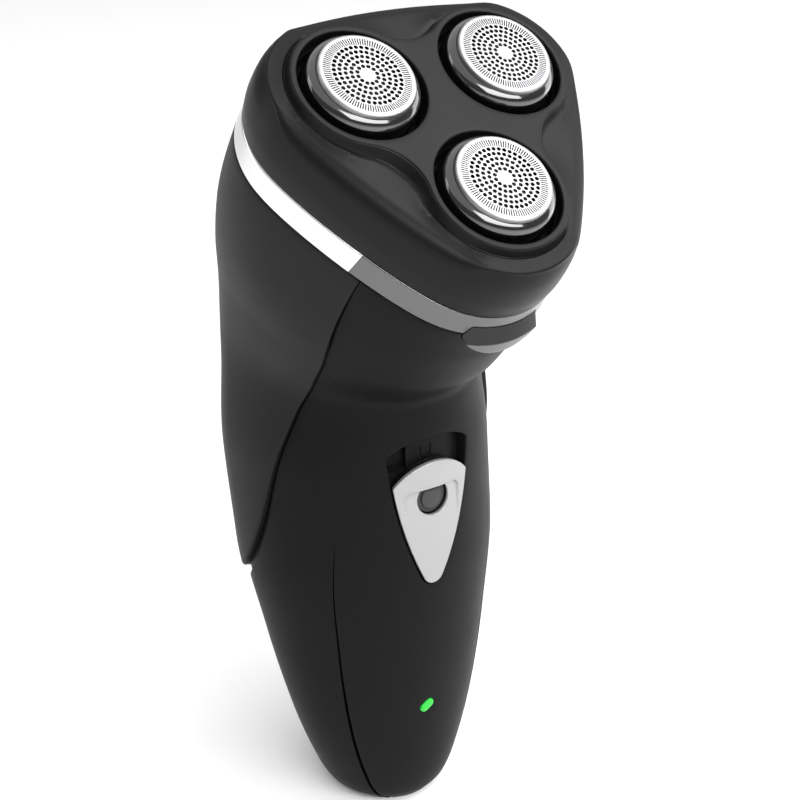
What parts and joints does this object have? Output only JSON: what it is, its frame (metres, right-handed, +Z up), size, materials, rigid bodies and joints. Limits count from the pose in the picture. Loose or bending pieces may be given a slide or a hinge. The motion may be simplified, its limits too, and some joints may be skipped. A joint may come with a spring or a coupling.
{
  "type": "electric shaver",
  "caption": "Cordless rotary shaver: tapered handle, tilted three-lobed head unit that hinges open, round sprung cutting heads, thumb slider and release button.",
  "frame": {"origin": "on the small flat base of the handle, on the middle plane, just in front of the charging inlet", "axes": "+Z up the handle towards the head unit, -Y out of the front with the power slider, +X to the right seen from behind the slider's side"},
  "size_m": [0.0624, 0.0786, 0.1642],
  "materials": {
    "case_black": "matte",
    "grip_black": "matte",
    "head_grey": "satin",
    "trim_silver": "satin",
    "trim_grey": "satin",
    "slider_silver": "satin",
    "button_grey": "gloss",
    "ring_black": "gloss",
    "guard_steel": "polished",
    "steel": "satin",
    "blade_steel": "satin",
    "nylon": "matte",
    "inner_grey": "matte",
    "brass": "satin",
    "board_green": "satin",
    "cell_green": "gloss",
    "led_green": "gloss"
  },
  "bodies": {
    "handle": {"front_shell": "case_black", "rear_shell": "case_black", "rear_grip": "grip_black", "trim_band_rear": "trim_silver", "trim_band_front": "trim_grey", "chamber_floor": "case_black", "motor_mount": "inner_grey", "motor_can": "steel", "battery_cradle": "inner_grey", "battery_cells": "cell_green", "battery_contacts": "steel", "circuit_board": "board_green", "slide_switch": "steel", "switch_seat": "case_black", "led_lens": "led_green", "inlet_socket": "case_black", "inlet_pins": "steel", "case_screws": "steel", "deck_screws": "steel", "hinge_pin": "steel"},
    "rotor": {"motor_rotor": "steel", "pinion": "brass"},
    "shaving_unit": {"head_frame": "head_grey", "retaining_frame": "nylon"},
    "lock_wheel": {"lock_wheel": "inner_grey"},
    "power_slider": {"power_slider": "slider_silver", "switch_knob": "ring_black"},
    "lock_button": {"lock_button": "button_grey"},
    "release_button": {"release_button": "button_grey"},
    "drive_front": {"gear_front": "nylon", "spindle_front": "nylon"},
    "guard_front": {"guard_front": "guard_steel", "guard_ring_front": "ring_black"},
    "cutter_front": {"cutter_front": "blade_steel"},
    "drive_left": {"gear_left": "nylon", "spindle_left": "nylon"},
    "guard_left": {"guard_left": "guard_steel", "guard_ring_left": "ring_black"},
    "cutter_left": {"cutter_left": "blade_steel"},
    "drive_right": {"gear_right": "nylon", "spindle_right": "nylon"},
    "guard_right": {"guard_right": "guard_steel", "guard_ring_right": "ring_black"},
    "cutter_right": {"cutter_right": "blade_steel"}
  },
  "joints": [
    {"name": "motor_spin", "type": "hinge", "parent": "handle", "child": "rotor", "pos_m": [0, 0.00241, 0.12031], "axis": [0, -0.6101, 0.7923], "continuous": true},
    {"name": "gear_front_spin", "type": "hinge", "parent": "handle", "child": "drive_front", "pos_m": [0, -0.02016, 0.12312], "axis": [0, -0.6101, 0.7923], "continuous": true},
    {"name": "gear_left_spin", "type": "hinge", "parent": "handle", "child": "drive_left", "pos_m": [-0.014, -0.00096, 0.13792], "axis": [0, -0.6101, 0.7923], "continuous": true},
    {"name": "gear_right_spin", "type": "hinge", "parent": "handle", "child": "drive_right", "pos_m": [0.014, -0.00096, 0.13792], "axis": [0, -0.6101, 0.7923], "continuous": true},
    {"name": "unit_hinge", "type": "hinge", "parent": "handle", "child": "shaving_unit", "pos_m": [0, 0.00875, 0.15599], "axis": [-1, 0, 0], "range_deg": [0, 100]},
    {"name": "lock_wheel_turn", "type": "hinge", "parent": "shaving_unit", "child": "lock_wheel", "pos_m": [0, -0.01529, 0.14328], "axis": [0, -0.6101, 0.7923], "range_deg": [0, 90]},
    {"name": "guard_front_float", "type": "slide", "parent": "shaving_unit", "child": "guard_front", "axis": [0, -0.6101, 0.7923], "range_m": [-0.001, 0], "stiffness_N_per_m": 400, "springref_m": 0.0004},
    {"name": "guard_left_float", "type": "slide", "parent": "shaving_unit", "child": "guard_left", "axis": [0, -0.6101, 0.7923], "range_m": [-0.001, 0], "stiffness_N_per_m": 400, "springref_m": 0.0004},
    {"name": "guard_right_float", "type": "slide", "parent": "shaving_unit", "child": "guard_right", "axis": [0, -0.6101, 0.7923], "range_m": [-0.001, 0], "stiffness_N_per_m": 400, "springref_m": 0.0004},
    {"name": "cutter_front_spin", "type": "hinge", "parent": "guard_front", "child": "cutter_front", "pos_m": [0, -0.03297, 0.13976], "axis": [0, -0.6101, 0.7923], "continuous": true},
    {"name": "cutter_left_spin", "type": "hinge", "parent": "guard_left", "child": "cutter_left", "pos_m": [-0.014, -0.01377, 0.15455], "axis": [0, -0.6101, 0.7923], "continuous": true},
    {"name": "cutter_right_spin", "type": "hinge", "parent": "guard_right", "child": "cutter_right", "pos_m": [0.014, -0.01377, 0.15455], "axis": [0, -0.6101, 0.7923], "continuous": true},
    {"name": "power_slide", "type": "slide", "parent": "handle", "child": "power_slider", "axis": [0, 0, 1], "range_m": [0, 0.005]},
    {"name": "lock_press", "type": "slide", "parent": "power_slider", "child": "lock_button", "axis": [0, 1, 0], "range_m": [0, 0.0008], "stiffness_N_per_m": 600, "springref_m": -0.0004},
    {"name": "release_press", "type": "slide", "parent": "handle", "child": "release_button", "axis": [0, 0.7923, 0.6101], "range_m": [0, 0.0012], "stiffness_N_per_m": 600, "springref_m": -0.0004}
  ],
  "couplings": [
    {"joint": "gear_front_spin", "follows": "motor_spin", "ratio": -0.46154},
    {"joint": "gear_left_spin", "follows": "motor_spin", "ratio": -0.46154},
    {"joint": "gear_right_spin", "follows": "motor_spin", "ratio": -0.46154},
    {"joint": "cutter_front_spin", "follows": "motor_spin", "ratio": -0.46154},
    {"joint": "cutter_left_spin", "follows": "motor_spin", "ratio": -0.46154},
    {"joint": "cutter_right_spin", "follows": "motor_spin", "ratio": -0.46154}
  ]
}
